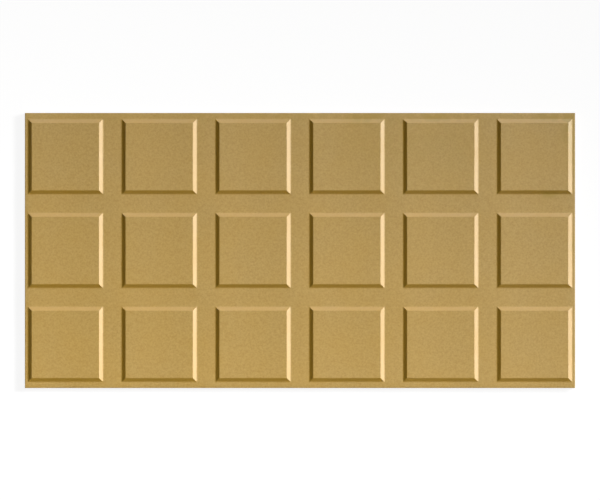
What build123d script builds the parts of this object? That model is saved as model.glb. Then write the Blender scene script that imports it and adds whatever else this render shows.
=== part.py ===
from build123d import *
import os
from math import atan2, degrees

# Relief wall tile: one dust-pressed, glazed and fired ceramic piece, lying face up on its back.
# Frame: +X along the length, +Y along the width, +Z out of the glazed face.
# Origin: centre of the back, on the plane that the tile beds on. Lengths are in millimetres.

# Format of the tile
TILE_LENGTH = 600.0
TILE_WIDTH = 300.0
BODY_THICKNESS = 8.5
ARRIS_RADIUS = 0.4
BACK_EDGE_CHAMFER = 0.8

# Raised pads on the face: they fill what the margins and the sunk channels between them leave
PAD_COLUMNS = 6
PAD_ROWS = 3
END_MARGIN = 3.5
SIDE_MARGIN = 6.95
CHANNEL_WIDTH = 20.8
PAD_RELIEF = 2.0
PAD_BEVEL = 4.0
PAD_EDGE_RADIUS = 0.8
FOOT_RADIUS = 4.0

# Keying grooves pressed into the back
GROOVE_MOUTH = 8.0
GROOVE_DEPTH = 0.6
GROOVE_DRAFT_DEGREES = 35.0
LAND_WIDTH = 7.0
RIM_WIDTH = 12.0

PAD_LENGTH = (TILE_LENGTH - 2 * END_MARGIN - (PAD_COLUMNS - 1) * CHANNEL_WIDTH) / PAD_COLUMNS
PAD_WIDTH = (TILE_WIDTH - 2 * SIDE_MARGIN - (PAD_ROWS - 1) * CHANNEL_WIDTH) / PAD_ROWS


def slab():
    """The tile's body up to the sunk ground between the pads, with its back edges eased."""
    blank = extrude(Rectangle(TILE_LENGTH, TILE_WIDTH), BODY_THICKNESS)
    return chamfer(blank.edges().group_by(Axis.Z)[0], BACK_EDGE_CHAMFER)


def pad():
    """One raised pad on the ground plane: four bevels under a flat top, with its crest and mitres eased."""
    slope_from_upright = degrees(atan2(PAD_BEVEL, PAD_RELIEF))
    block = extrude(Rectangle(PAD_LENGTH, PAD_WIDTH), PAD_RELIEF, taper=slope_from_upright)
    crest_and_mitres = block.edges().group_by(Axis.Z)[1:]
    return fillet([edge for level in crest_and_mitres for edge in level], PAD_EDGE_RADIUS)


def ground_face(body):
    """The sunk face that runs round every pad: the one face with the pads' feet as its inner wires."""
    return body.faces().sort_by(lambda face: len(face.inner_wires()))[-1]


def pressed_face(body):
    """The body with its pads, a hollow round each pad's foot and an eased arris round the tile."""
    grid = GridLocations(PAD_LENGTH + CHANNEL_WIDTH, PAD_WIDTH + CHANNEL_WIDTH, PAD_COLUMNS, PAD_ROWS)
    raised = pad()
    body += [Pos(0, 0, BODY_THICKNESS) * place * raised for place in grid]
    feet = [edge for wire in ground_face(body).inner_wires() for edge in wire.edges()]
    body = fillet(feet, FOOT_RADIUS)
    return fillet(ground_face(body).outer_wire().edges(), ARRIS_RADIUS)


def keying_grooves():
    """Shallow drafted grooves along the back, inside a flat rim, with a land on the centre line."""
    pitch = GROOVE_MOUTH + LAND_WIDTH
    room = TILE_WIDTH - 2 * RIM_WIDTH + LAND_WIDTH
    count = 2 * int(room // (2 * pitch))
    mouth = Rectangle(TILE_LENGTH - 2 * RIM_WIDTH, GROOVE_MOUTH)
    groove = extrude(mouth, GROOVE_DEPTH, taper=GROOVE_DRAFT_DEGREES)
    return [place * groove for place in GridLocations(0, pitch, 1, count)]


def tile():
    """The finished tile as one solid."""
    return pressed_face(slab()) - keying_grooves()


os.makedirs("parts", exist_ok=True)
export_step(tile(), "parts/tile.step")
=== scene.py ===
from math import atan2, ceil, cos, pi, radians, sin, tan

import bpy
import numpy as np
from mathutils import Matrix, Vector, noise


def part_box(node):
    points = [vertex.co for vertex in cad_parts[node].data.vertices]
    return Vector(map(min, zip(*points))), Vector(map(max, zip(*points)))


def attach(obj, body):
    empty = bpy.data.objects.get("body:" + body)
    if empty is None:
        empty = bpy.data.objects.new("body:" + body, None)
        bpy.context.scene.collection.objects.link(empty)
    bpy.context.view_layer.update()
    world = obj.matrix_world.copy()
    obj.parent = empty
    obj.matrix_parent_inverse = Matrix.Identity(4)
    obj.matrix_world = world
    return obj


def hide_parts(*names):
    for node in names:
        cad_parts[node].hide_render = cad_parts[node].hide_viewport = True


# A gold glazed relief tile, lying face up on a pale floor and seen from straight above.
# Metres throughout: +X along the tile's length, +Y along its width, +Z out of the glazed face.

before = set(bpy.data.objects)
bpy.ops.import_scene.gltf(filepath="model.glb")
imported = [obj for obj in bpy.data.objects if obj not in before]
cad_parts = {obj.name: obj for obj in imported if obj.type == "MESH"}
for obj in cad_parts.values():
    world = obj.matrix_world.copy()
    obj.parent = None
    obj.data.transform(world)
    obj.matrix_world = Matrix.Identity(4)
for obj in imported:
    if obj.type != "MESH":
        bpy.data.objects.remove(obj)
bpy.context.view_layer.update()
MM = 0.001

# Format of the tile, from the frame
TILE_LOW, TILE_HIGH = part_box("tile")
TILE_LENGTH = TILE_HIGH.x - TILE_LOW.x
TILE_WIDTH = TILE_HIGH.y - TILE_LOW.y
BACK = TILE_LOW.z
CREST = TILE_HIGH.z

# Pressed shape, with the same sizes as the solid
PAD_COLUMNS = 6
PAD_ROWS = 3
END_MARGIN = 3.5 * MM
SIDE_MARGIN = 6.95 * MM
CHANNEL_WIDTH = 20.8 * MM
PAD_RELIEF = 2.0 * MM
PAD_BEVEL = 4.0 * MM
CREST_RADIUS = 0.8 * MM
FOOT_RADIUS = 4.0 * MM
ARRIS_RADIUS = 0.4 * MM
BACK_CHAMFER = 0.8 * MM
GROOVE_MOUTH = 8.0 * MM
GROOVE_DEPTH = 0.6 * MM
GROOVE_DRAFT = radians(35)
LAND_WIDTH = 7.0 * MM
RIM_WIDTH = 12.0 * MM

# What follows from it: the ground between the pads, the bevels' slope and how far their arcs reach
GROUND = CREST - PAD_RELIEF
BEVEL_ANGLE = atan2(PAD_RELIEF, PAD_BEVEL)
FOOT_REACH = FOOT_RADIUS * tan(BEVEL_ANGLE / 2)
CREST_REACH = CREST_RADIUS * tan(BEVEL_ANGLE / 2)

# What firing does to the face: it sags at the middle of each pad, once each way, and is faintly wavy
PAD_SAG = 0.26 * MM
WAVE_LENGTH = 38 * MM
WAVE_DEPTH = 0.03 * MM

# Where the glaze ends on the sides: a thin lip with a wavy hem, over the bare body
GLAZE_LIP = 0.15 * MM
HEM_BELOW_GROUND = 2.2 * MM
HEM_WAVE = 0.7 * MM
HEM_WAVE_LENGTH = 14 * MM

# Fineness of the mesh, with one more line outside each foot and one inside each crest
MESH_STEP = 5 * MM
ARC_STEPS = 5
ARRIS_STEPS = 6
LINE_OUTSIDE_FOOT = 2 * FOOT_REACH
LINE_INSIDE_CREST = 5 * CREST_REACH
SHARP_ANGLE = radians(22)
RIDGE_BEND = 0.02 * MM

# Olive marks in the glaze, most of them by the upper and right edges.
# Each has its x, y, half length, half width and strength.
STAINS = (
    (0 * MM, 150 * MM, 500 * MM, 7 * MM, 0.7),
    (130 * MM, 110 * MM, 100 * MM, 45 * MM, 0.3),
    (69 * MM, 145 * MM, 13 * MM, 6 * MM, 1.3),
    (149 * MM, 146 * MM, 11 * MM, 6 * MM, 1.2),
    (280 * MM, 146 * MM, 22 * MM, 6 * MM, 1.2),
    (298 * MM, 112 * MM, 5 * MM, 36 * MM, 1.2),
    (292 * MM, 128 * MM, 6 * MM, 12 * MM, 1.0),
    (272 * MM, 61 * MM, 9 * MM, 4 * MM, 1.1),
    (298 * MM, 8 * MM, 4 * MM, 10 * MM, 0.9),
    (298 * MM, -107 * MM, 4 * MM, 8 * MM, 0.9),
)

# Glaze: its colours and its gloss
GLAZE_DARK = (0.401, 0.2122, 0.0)
GLAZE_LIGHT = (0.5595, 0.371, 0.0935)
# The deeper colour serves the slow clouding. On the bevels it is painted shade as well as pooled glaze.
GLAZE_DEEP_AND_SHADE = (0.482, 0.264, 0.0119)
GLAZE_THIN = (0.40, 0.25, 0.05)
STAIN_OLIVE = (0.39, 0.233, 0.0)
GLAZE_IOR = 2.2
GLAZE_ROUGHNESS = (0.405, 0.445)

# Glaze: sizes of its grain, clouds, orange peel and smudges, and how deep they lie
GRAIN_SIZE = 1.9 * MM
CLOUD_SIZE = 40 * MM
PEEL_SIZE = 3.5 * MM
SMUDGE_SIZE = 9 * MM
GRAIN_DEPTH = 0.008 * MM
PEEL_DEPTH = 0.010 * MM

# Glaze: part of the noise that each pattern spans, and the most of its colour that each adds
GRAIN_RANGE = (0.2, 0.8)
CLOUD_RANGE = (0.3, 0.8)
SMUDGE_RANGE = (0.3, 0.55)
CLOUD_SHARE = 0.25
# How much of the deeper colour the bevels take: pooled glaze, and painted shade on every slope
BEVEL_POOL_AND_SHADE_SHARE = 0.7
ARRIS_SHARE = 0.6

# Bare fired body: its colours, roughness, and the sizes and spans of its dust, kiln patches and specks
BODY_LIGHT = (0.66, 0.52, 0.40)
BODY_DARK = (0.50, 0.37, 0.26)
KILN_GREY = (0.36, 0.29, 0.23)
BODY_ROUGHNESS = (0.8, 0.95)
DUST_SIZE = 0.9 * MM
PATCH_SIZE = 30 * MM
SPECK_SIZE = 1.6 * MM
DUST_DEPTH = 0.06 * MM
PATCH_RANGE = (0.5, 0.8)
SPECK_RANGE = (0.68, 0.74)
PATCH_SHARE = 0.35
SPECK_SHARE = 0.6

# Part of the noise over which either finish goes from its lower to its higher roughness
ROUGHNESS_RANGE = (0.3, 0.7)

# Camera: straight down, with the tile as long and as low in the image, in pixels, as in the photograph
IMAGE_WIDTH = 600
IMAGE_HEIGHT = 500
TILE_LENGTH_IN_IMAGE = 550.3
TILE_MIDDLE_ROW = 250.5
LENS = 400.0
SENSOR = 36.0

# Light: a soft key on the right, aimed past the tile and not seen in gloss, and a dim room
KEY_DIRECTION = Vector((1.21, 0.40, 1.0)).normalized()
KEY_DISTANCE = 4.0
KEY_SIZE = 1.2
KEY_POWER = 160.0
KEY_AIM = Vector((-8.15, -6.6, 0.0))
KEY_SPREAD = radians(71.4)
ROOM_LIGHT = 0.02
ROOM_COLOUR = (1.0, 0.8, 0.6)

# What gloss shows: a bright wall on the right. It starts above the floor, is full from a second height up
# and fades out to an edge. The edge is a cosine, and heights are those of unit directions.
WALL_DIRECTION = Vector((8.5, 3.3, 1.0)).normalized()
WALL_EDGE = -0.22
WALL_LEVEL = 8.2
WALL_COLOUR = (1.0, 1.03, 1.07)
WALL_FOOT_HEIGHT = 0.34
WALL_FULL_HEIGHT = 0.54

# White surroundings: a floor, and a backdrop whose top fades out between two heights
FLOOR_SIZE = 30.0
FLOOR_COLOUR = (0.9, 0.9, 0.9)
FLOOR_GLOW = 0.91
FLOOR_SHADE = (0.16, 0.16, 0.16)
BACKDROP_COLOUR = (1.0, 1.0, 1.0)
BACKDROP_TOP = 0.05
BACKDROP_FADE = 0.14


class Axis:
    """One direction of the grid of pads: its mesh lines, and the shape's terms along them."""

    def __init__(self, length, pads, margin):
        self.half = length / 2
        self.pad_half = (length - 2 * margin - (pads - 1) * CHANNEL_WIDTH) / pads / 2
        self.pitch = 2 * self.pad_half + CHANNEL_WIDTH
        self.centres = (np.arange(pads) - (pads - 1) / 2) * self.pitch
        self.lines = self.mesh_lines()
        nearest = np.abs(self.lines[:, None] - self.centres).argmin(axis=1)
        self.off_centre = self.lines - self.centres[nearest]

    def mesh_lines(self):
        """Places of the mesh lines: on every arc and corner of the section, then filled in evenly."""
        turn = np.linspace(0, BEVEL_ANGLE, ARC_STEPS + 1)
        hollow = FOOT_RADIUS * np.sin(turn) - FOOT_REACH
        crest = PAD_BEVEL + CREST_REACH - CREST_RADIUS * np.sin(turn)
        beside = [-LINE_OUTSIDE_FOOT, PAD_BEVEL + LINE_INSIDE_CREST]
        insets = np.concatenate([hollow, crest, beside])
        outlines = [centre + side * (self.pad_half - insets) for centre in self.centres for side in (-1, 1)]
        quarter = np.linspace(0, pi / 2, ARRIS_STEPS + 1)
        arris = self.half - ARRIS_RADIUS * (1 - np.sin(quarter))
        corners = np.unique(np.concatenate(outlines + [arris, -arris]))
        spans = [
            np.linspace(start, end, ceil((end - start) / MESH_STEP), endpoint=False)
            for start, end in zip(corners, corners[1:])
        ]
        return np.concatenate(spans + [corners[-1:]])

    def inset(self):
        """Distance inside the nearest pad's outline, negative in the channels."""
        return self.pad_half - np.abs(self.off_centre)

    def sag(self):
        """How far the face has sunk: most at the middle of a pad, nothing at the middle of a channel."""
        return PAD_SAG * (1 + np.cos(2 * pi * self.off_centre / self.pitch)) / 2

    def arris_drop(self):
        """How far the rounded arris falls below the ground at the tile's edge."""
        past = np.clip(np.abs(self.lines) - (self.half - ARRIS_RADIUS), 0, ARRIS_RADIUS)
        return ARRIS_RADIUS - np.sqrt(ARRIS_RADIUS**2 - past**2)

    def edge_distance(self):
        """Distance from the nearer edge of the tile."""
        return self.half - np.abs(self.lines)


def pad_rise(inset):
    """Height of a pad over the ground at a distance inside its outline: hollow, bevel, crest, then flat."""
    into_hollow = np.clip(inset + FOOT_REACH, 0, FOOT_RADIUS * sin(BEVEL_ANGLE))
    hollow = FOOT_RADIUS - np.sqrt(FOOT_RADIUS**2 - into_hollow**2)
    before_top = np.clip(PAD_BEVEL + CREST_REACH - inset, 0, CREST_RADIUS * sin(BEVEL_ANGLE))
    crest = PAD_RELIEF - CREST_RADIUS + np.sqrt(CREST_RADIUS**2 - before_top**2)
    in_hollow = inset < FOOT_REACH * cos(BEVEL_ANGLE)
    on_crest = inset > PAD_BEVEL - CREST_REACH * cos(BEVEL_ANGLE)
    return np.select([in_hollow, on_crest], [hollow, crest], inset * tan(BEVEL_ANGLE))


def waves(points, length):
    """Smooth noise from 0 to 1 at each point, with waves of about this length."""
    return np.array([(noise.noise(Vector(point) / length) + 1) / 2 for point in points])


class TileMesh:
    """Collects the tile's vertices and faces: one closed skin in two materials."""

    GLAZE = 0
    BODY = 1

    def __init__(self):
        self.points = []
        self.faces = []
        self.materials = []

    def add_points(self, points):
        """Adds points, those that fall together only once, and returns the number of each."""
        numbers = {}
        for point in map(tuple, points):
            if point not in numbers:
                numbers[point] = len(self.points)
                self.points.append(point)
        return [numbers[tuple(point)] for point in points]

    def add_face(self, corners, material):
        """Adds a face, unless its corners fall together in a line or a point."""
        corners = tuple(dict.fromkeys(corners))
        if len(corners) > 2:
            self.faces.append(corners)
            self.materials.append(material)

    def add_band(self, first, second, material):
        """Joins two closed rings of as many points with quads. On the sides the first ring is the upper."""
        for i in range(len(first)):
            j = (i + 1) % len(first)
            self.add_face((first[i], second[i], second[j], first[j]), material)


def face_points(along, across):
    """The glazed face as a grid of points, by length and by width."""
    x, y = np.meshgrid(along.lines, across.lines, indexing="ij")
    inset = np.minimum.outer(along.inset(), across.inset())
    sag = np.add.outer(along.sag(), across.sag())
    drop = np.maximum.outer(along.arris_drop(), across.arris_drop())
    flat = np.stack([x, y, np.zeros_like(x)], axis=-1)
    wave = waves(flat.reshape(-1, 3), WAVE_LENGTH).reshape(x.shape)
    z = GROUND + pad_rise(inset) - sag - drop - WAVE_DEPTH * wave
    return np.stack([x, y, z], axis=-1)


def add_face_grid(mesh, grid):
    """Adds the glazed face. A cell that a mitre crosses is split along the ridge, the rest are quads."""
    ids = np.array(mesh.add_points(grid.reshape(-1, 3))).reshape(grid.shape[:2])
    z = grid[..., 2]
    rising = z[:-1, :-1] + z[1:, 1:]
    falling = z[1:, :-1] + z[:-1, 1:]
    bent = np.abs(rising - falling) > RIDGE_BEND
    for i, j in np.ndindex(bent.shape):
        a, b, c, d = ids[i, j], ids[i + 1, j], ids[i + 1, j + 1], ids[i, j + 1]
        if not bent[i, j]:
            mesh.add_face((a, b, c, d), mesh.GLAZE)
        elif rising[i, j] > falling[i, j]:
            mesh.add_face((a, b, c), mesh.GLAZE)
            mesh.add_face((a, c, d), mesh.GLAZE)
        else:
            mesh.add_face((a, b, d), mesh.GLAZE)
            mesh.add_face((b, c, d), mesh.GLAZE)
    return ids


def rim_ids(ids):
    """The ring of points round the edge of a grid, anticlockwise from its lower left corner."""
    lower, right = ids[:-1, 0], ids[-1, :-1]
    upper, left = ids[:0:-1, -1], ids[0, :0:-1]
    return [int(i) for i in np.concatenate([lower, right, upper, left])]


def ring(points, inset, z):
    """The ring of points moved in from the tile's edges by an inset, at a height."""
    half = np.array([TILE_LENGTH / 2, TILE_WIDTH / 2])
    moved = np.clip(points[:, :2], -(half - inset), half - inset)
    return np.column_stack([moved, np.broadcast_to(z, len(points))])


def add_sides(mesh, edge):
    """Adds the sides: glaze down to a wavy hem, its lip, the bare body and the chamfer to the back."""
    points = np.array([mesh.points[i] for i in edge])
    hem = GROUND - HEM_BELOW_GROUND - HEM_WAVE * waves(ring(points, GLAZE_LIP, 0), HEM_WAVE_LENGTH)
    rings = (
        (ring(points, 0, hem), mesh.GLAZE),
        (ring(points, GLAZE_LIP, hem), mesh.GLAZE),
        (ring(points, GLAZE_LIP, BACK + BACK_CHAMFER), mesh.BODY),
        (ring(points, BACK_CHAMFER, BACK), mesh.BODY),
    )
    upper = edge
    for lower_points, material in rings:
        lower = mesh.add_points(lower_points)
        mesh.add_band(upper, lower, material)
        upper = lower
    return upper


def groove_places():
    """Middle lines of the keying grooves across the back."""
    pitch = GROOVE_MOUTH + LAND_WIDTH
    room = TILE_WIDTH - 2 * RIM_WIDTH + LAND_WIDTH
    count = 2 * int(room // (2 * pitch))
    return (np.arange(count) - (count - 1) / 2) * pitch


def add_groove(mesh, middle):
    """Adds one groove with its floor and drafted walls. Returns its mouth's corners, left then right."""
    end = TILE_LENGTH / 2 - RIM_WIDTH
    side = GROOVE_MOUTH / 2
    taper = GROOVE_DEPTH * tan(GROOVE_DRAFT)
    corners = ((-1, -1), (1, -1), (1, 1), (-1, 1))
    mouth = mesh.add_points([(x * end, middle + y * side, BACK) for x, y in corners])
    depth = BACK + GROOVE_DEPTH
    floor = mesh.add_points([(x * (end - taper), middle + y * (side - taper), depth) for x, y in corners])
    mesh.add_face(floor[::-1], mesh.BODY)
    mesh.add_band(mouth, floor, mesh.BODY)
    lower_left, lower_right, upper_right, upper_left = mouth
    return (lower_left, upper_left), (lower_right, upper_right)


def add_rim(mesh, outline, along_count, across_count, left, right):
    """Adds the flat rim of the back as four faces, from the outline to the ends of the grooves."""
    lower_right = along_count - 1
    upper_right = lower_right + across_count - 1
    upper_left = upper_right + along_count - 1
    lower_edge = outline[: lower_right + 1]
    right_edge = outline[lower_right : upper_right + 1]
    upper_edge = outline[upper_right : upper_left + 1]
    left_edge = outline[upper_left:] + outline[:1]
    mesh.add_face([*lower_edge[::-1], left[0], right[0]], mesh.BODY)
    mesh.add_face([*right_edge[::-1], *right], mesh.BODY)
    mesh.add_face([*upper_edge[::-1], right[-1], left[-1]], mesh.BODY)
    mesh.add_face([*left_edge[::-1], *left[::-1]], mesh.BODY)


def add_back(mesh, outline, along_count, across_count):
    """Adds the back: the grooves, the lands between them and the flat rim round them."""
    mouths = [add_groove(mesh, middle) for middle in groove_places()]
    for (below_left, below_right), (above_left, above_right) in zip(mouths, mouths[1:]):
        mesh.add_face((below_left[1], above_left[0], above_right[0], below_right[1]), mesh.BODY)
    left = [corner for left_end, _ in mouths for corner in left_end]
    right = [corner for _, right_end in mouths for corner in right_end]
    add_rim(mesh, outline, along_count, across_count, left, right)


def paint(mesh_data, name, values):
    """Stores a number for each point of the face, and 0 elsewhere, under a name that the glaze reads."""
    padded = np.zeros(len(mesh_data.vertices), np.float32)
    padded[: values.size] = values.ravel()
    mesh_data.attributes.new(name, "FLOAT", "POINT").data.foreach_set("value", padded)


def glaze_depth_and_shade(along, across):
    """The glaze's thickness about its mean, with painted shade: 1 on the bevels it has run down, where the
    deeper colour also stands for shade, -1 on the thin arris.
    """
    inset = np.minimum.outer(along.inset(), across.inset())
    edge = np.minimum.outer(along.edge_distance(), across.edge_distance())
    # The bevel part: pooled glaze, and the slopes where a deeper colour is painted as shade
    past_foot = np.clip((inset + FOOT_REACH) / (2 * FOOT_REACH), 0, 1)
    before_crest = np.clip((PAD_BEVEL + CREST_REACH - inset) / (2 * CREST_REACH), 0, 1)
    arris = np.clip(1 - edge / ARRIS_RADIUS, 0, 1)
    return past_foot * before_crest - arris


def stain_strength(along, across):
    """How strongly the olive marks show over the face."""
    total = np.zeros((len(along.lines), len(across.lines)))
    for x, y, half_length, half_width, strength in STAINS:
        lengthways = np.exp(-(((along.lines - x) / half_length) ** 2))
        widthways = np.exp(-(((across.lines - y) / half_width) ** 2))
        total += strength * np.outer(lengthways, widthways)
    return total


def make_tile():
    """The tile as one closed mesh, glazed on its face and down to the hem, and bare below it."""
    along = Axis(TILE_LENGTH, PAD_COLUMNS, END_MARGIN)
    across = Axis(TILE_WIDTH, PAD_ROWS, SIDE_MARGIN)
    mesh = TileMesh()
    ids = add_face_grid(mesh, face_points(along, across))
    outline = add_sides(mesh, rim_ids(ids))
    add_back(mesh, outline, *ids.shape)
    data = bpy.data.meshes.new("glazed_tile")
    data.from_pydata(mesh.points, [], mesh.faces)
    data.polygons.foreach_set("material_index", mesh.materials)
    data.polygons.foreach_set("use_smooth", [True] * len(mesh.faces))
    data.set_sharp_from_angle(angle=SHARP_ANGLE)
    # Marks the bevels for pooled glaze and painted shade, and the thin arris
    paint(data, "glaze_depth_and_shade", glaze_depth_and_shade(along, across))
    paint(data, "stain", stain_strength(along, across))
    data.materials.append(finish_material("gold_glaze", glaze))
    data.materials.append(finish_material("fired_body", fired_body))
    data.update()
    tile = bpy.data.objects.new("glazed_tile", data)
    bpy.context.scene.collection.objects.link(tile)
    return tile


class Nodes:
    """A node tree, with short ways to add what the materials and the room are made of."""

    # A Mix node's colour sockets, by number, because its other sockets share their names
    MIX_FIRST = 6
    MIX_SECOND = 7
    MIX_RESULT = 2

    def __init__(self, owner):
        owner.use_nodes = True
        self.tree = owner.node_tree

    def feed(self, socket, value):
        """Links a socket to another node's output, or sets it to a number, a colour or a direction."""
        if isinstance(value, bpy.types.NodeSocket):
            self.tree.links.new(value, socket)
        elif isinstance(value, tuple):
            socket.default_value = (*value, 1.0)
        else:
            socket.default_value = value

    def add(self, kind, values=None, operation=None):
        """A new node, with its inputs fed by name or number."""
        made = self.tree.nodes.new("ShaderNode" + kind)
        if operation is not None:
            made.operation = operation
        for socket, value in (values or {}).items():
            self.feed(made.inputs[socket], value)
        return made

    def math(self, operation, first, second):
        """The result of an operation on two numbers."""
        return self.add("Math", {0: first, 1: second}, operation).outputs["Value"]

    def spread(self, value, low, high, to_low=0.0, to_high=1.0):
        """A value stretched from one range to another, and held inside it."""
        ends = {"From Min": low, "From Max": high, "To Min": to_low, "To Max": to_high}
        return self.add("MapRange", {"Value": value, **ends}).outputs["Result"]

    def noise(self, size, detail=2.0, roughness=0.5):
        """Smooth noise about 0.5, fixed to the tile, with grains of about this size."""
        place = self.add("TexCoord").outputs["Object"]
        values = {"Vector": place, "Scale": 1 / size, "Detail": detail, "Roughness": roughness}
        return self.add("TexNoise", values).outputs["Fac"]

    def blend(self, share, first, second):
        """A colour between two others."""
        made = self.add("Mix", {"Factor": share})
        made.data_type = "RGBA"
        self.feed(made.inputs[self.MIX_FIRST], first)
        self.feed(made.inputs[self.MIX_SECOND], second)
        return made.outputs[self.MIX_RESULT]

    def attribute(self, name):
        """The number that the mesh's points carry under a name."""
        made = self.add("Attribute")
        made.attribute_name = name
        return made.outputs["Fac"]

    def bump(self, height, depth, below=None):
        """A bump of this depth, over another bump's normal if there is one."""
        made = self.add("Bump", {"Height": height, "Distance": depth})
        if below is not None:
            self.feed(made.inputs["Normal"], below)
        return made.outputs["Normal"]

    def seen_rays(self):
        """1 for rays that show the background: from the camera, off gloss or through glass."""
        path = self.add("LightPath").outputs
        reflected = self.math("MAXIMUM", path["Is Glossy Ray"], path["Is Transmission Ray"])
        return self.math("MAXIMUM", path["Is Camera Ray"], reflected)


def finish_material(name, nodes_for):
    """A material whose shader's inputs come from a function's nodes and values."""
    material = bpy.data.materials.new(name)
    nodes = Nodes(material)
    shader = nodes.tree.nodes["Principled BSDF"]
    for socket, value in nodes_for(nodes).items():
        nodes.feed(shader.inputs[socket], value)
    return material


def glaze(nodes):
    """Satin gold glaze: fine metallic grain, slow clouding, deeper on the bevels from pooled glaze and
    painted shade, thin on the arris.
    """
    grain = nodes.spread(nodes.noise(GRAIN_SIZE, detail=2.0, roughness=0.6), *GRAIN_RANGE)
    clouds = nodes.noise(CLOUD_SIZE, detail=3.0)
    peel = nodes.noise(PEEL_SIZE, detail=1.0)
    depth = nodes.attribute("glaze_depth_and_shade")
    patchy = nodes.spread(nodes.noise(SMUDGE_SIZE, detail=4.0), *SMUDGE_RANGE)
    smudge = nodes.math("MULTIPLY", nodes.attribute("stain"), patchy)
    colour = nodes.blend(grain, GLAZE_DARK, GLAZE_LIGHT)
    colour = nodes.blend(nodes.spread(clouds, *CLOUD_RANGE, 0.0, CLOUD_SHARE), colour, GLAZE_DEEP_AND_SHADE)
    # Painted shade: all bevels take the deeper colour, both as pooled glaze and as shade on the slopes
    colour = nodes.blend(nodes.spread(depth, 0.0, 1.0, 0.0, BEVEL_POOL_AND_SHADE_SHARE), colour, GLAZE_DEEP_AND_SHADE)
    colour = nodes.blend(nodes.spread(depth, 0.0, -1.0, 0.0, ARRIS_SHARE), colour, GLAZE_THIN)
    colour = nodes.blend(smudge, colour, STAIN_OLIVE)
    return {
        "Base Color": colour,
        "Roughness": nodes.spread(clouds, *ROUGHNESS_RANGE, *GLAZE_ROUGHNESS),
        "IOR": GLAZE_IOR,
        "Normal": nodes.bump(grain, GRAIN_DEPTH, nodes.bump(peel, PEEL_DEPTH)),
    }


def fired_body(nodes):
    """Bare fired body: pale warm clay with pressed dust grain, dark specks and faint kiln marks."""
    dust = nodes.noise(DUST_SIZE, detail=3.0, roughness=0.7)
    patches = nodes.noise(PATCH_SIZE, detail=4.0)
    specks = nodes.noise(SPECK_SIZE, detail=1.0)
    colour = nodes.blend(dust, BODY_DARK, BODY_LIGHT)
    colour = nodes.blend(nodes.spread(patches, *PATCH_RANGE, 0.0, PATCH_SHARE), colour, KILN_GREY)
    colour = nodes.blend(nodes.spread(specks, *SPECK_RANGE, 0.0, SPECK_SHARE), colour, KILN_GREY)
    return {
        "Base Color": colour,
        "Roughness": nodes.spread(dust, *ROUGHNESS_RANGE, *BODY_ROUGHNESS),
        "Normal": nodes.bump(dust, DUST_DEPTH),
    }


def make_floor():
    """A pale floor that shows as white and keeps the tile's shadow."""
    bpy.ops.mesh.primitive_plane_add(size=FLOOR_SIZE, location=(0, 0, BACK))
    floor = bpy.context.object
    floor.name = "floor"
    material = bpy.data.materials.new("pale_floor")
    nodes = Nodes(material)
    nodes.tree.nodes.clear()
    plain = nodes.add("BsdfDiffuse", {"Color": FLOOR_COLOUR})
    glow = nodes.add("Emission", {"Strength": FLOOR_GLOW})
    shade = nodes.add("BsdfDiffuse", {"Color": FLOOR_SHADE})
    white = nodes.add("AddShader", {0: glow.outputs[0], 1: shade.outputs[0]})
    shown = {"Fac": nodes.seen_rays(), 1: plain.outputs[0], 2: white.outputs[0]}
    nodes.add("OutputMaterial", {"Surface": nodes.add("MixShader", shown).outputs[0]})
    floor.data.materials.append(material)


def make_world():
    """A dim room, with a white backdrop that the camera and gloss see, and a wall that gloss alone sees."""
    world = bpy.data.worlds.new("studio")
    bpy.context.scene.world = world
    nodes = Nodes(world)
    nodes.tree.nodes.clear()
    direction = nodes.add("TexCoord").outputs["Generated"]
    height = nodes.add("SeparateXYZ", {"Vector": direction}).outputs["Z"]
    fading = nodes.spread(height, BACKDROP_TOP, BACKDROP_FADE, 1.0, ROOM_LIGHT)
    facing = nodes.add("VectorMath", {0: direction, 1: WALL_DIRECTION}, "DOT_PRODUCT").outputs["Value"]
    ramp = nodes.spread(facing, WALL_EDGE, 1.0)
    rising = nodes.spread(height, WALL_FOOT_HEIGHT, WALL_FULL_HEIGHT, 0.0, WALL_LEVEL)
    bright = nodes.math("MULTIPLY", nodes.math("MULTIPLY", ramp, ramp), rising)
    in_gloss = nodes.math("MULTIPLY", bright, nodes.add("LightPath").outputs["Is Glossy Ray"])
    room = nodes.add("Background", {"Color": ROOM_COLOUR, "Strength": ROOM_LIGHT})
    backdrop = nodes.add("Background", {"Color": BACKDROP_COLOUR, "Strength": fading})
    wall = nodes.add("Background", {"Color": WALL_COLOUR, "Strength": in_gloss})
    surroundings = nodes.add("AddShader", {0: backdrop.outputs[0], 1: wall.outputs[0]})
    shown = {"Fac": nodes.seen_rays(), 1: room.outputs[0], 2: surroundings.outputs[0]}
    nodes.add("OutputWorld", {"Surface": nodes.add("MixShader", shown).outputs[0]})


def make_key_light():
    """A large soft lamp, aimed past the tile so that the edge of its spread feathers the light over it."""
    lamp = bpy.data.lights.new("key", "AREA")
    lamp.shape = "SQUARE"
    lamp.size = KEY_SIZE
    lamp.energy = KEY_POWER
    lamp.spread = KEY_SPREAD
    key = bpy.data.objects.new("key", lamp)
    key.location = KEY_DIRECTION * KEY_DISTANCE
    key.rotation_mode = "QUATERNION"
    key.rotation_quaternion = (KEY_AIM - key.location).to_track_quat("-Z", "Y")
    key.visible_camera = False
    key.visible_glossy = False
    bpy.context.scene.collection.objects.link(key)


def make_camera():
    """A long lens straight above the tile."""
    scale = TILE_LENGTH / TILE_LENGTH_IN_IMAGE
    distance = IMAGE_WIDTH * scale * LENS / SENSOR
    view = bpy.data.cameras.new("camera")
    view.lens = LENS
    view.sensor_width = SENSOR
    camera = bpy.data.objects.new("camera", view)
    camera.location = (0, (TILE_MIDDLE_ROW - IMAGE_HEIGHT / 2) * scale, GROUND + distance)
    bpy.context.scene.collection.objects.link(camera)
    bpy.context.scene.camera = camera


tile = make_tile()
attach(tile, "root")
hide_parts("tile")
make_floor()
make_world()
make_key_light()
make_camera()
bpy.context.scene.view_settings.view_transform = "Standard"
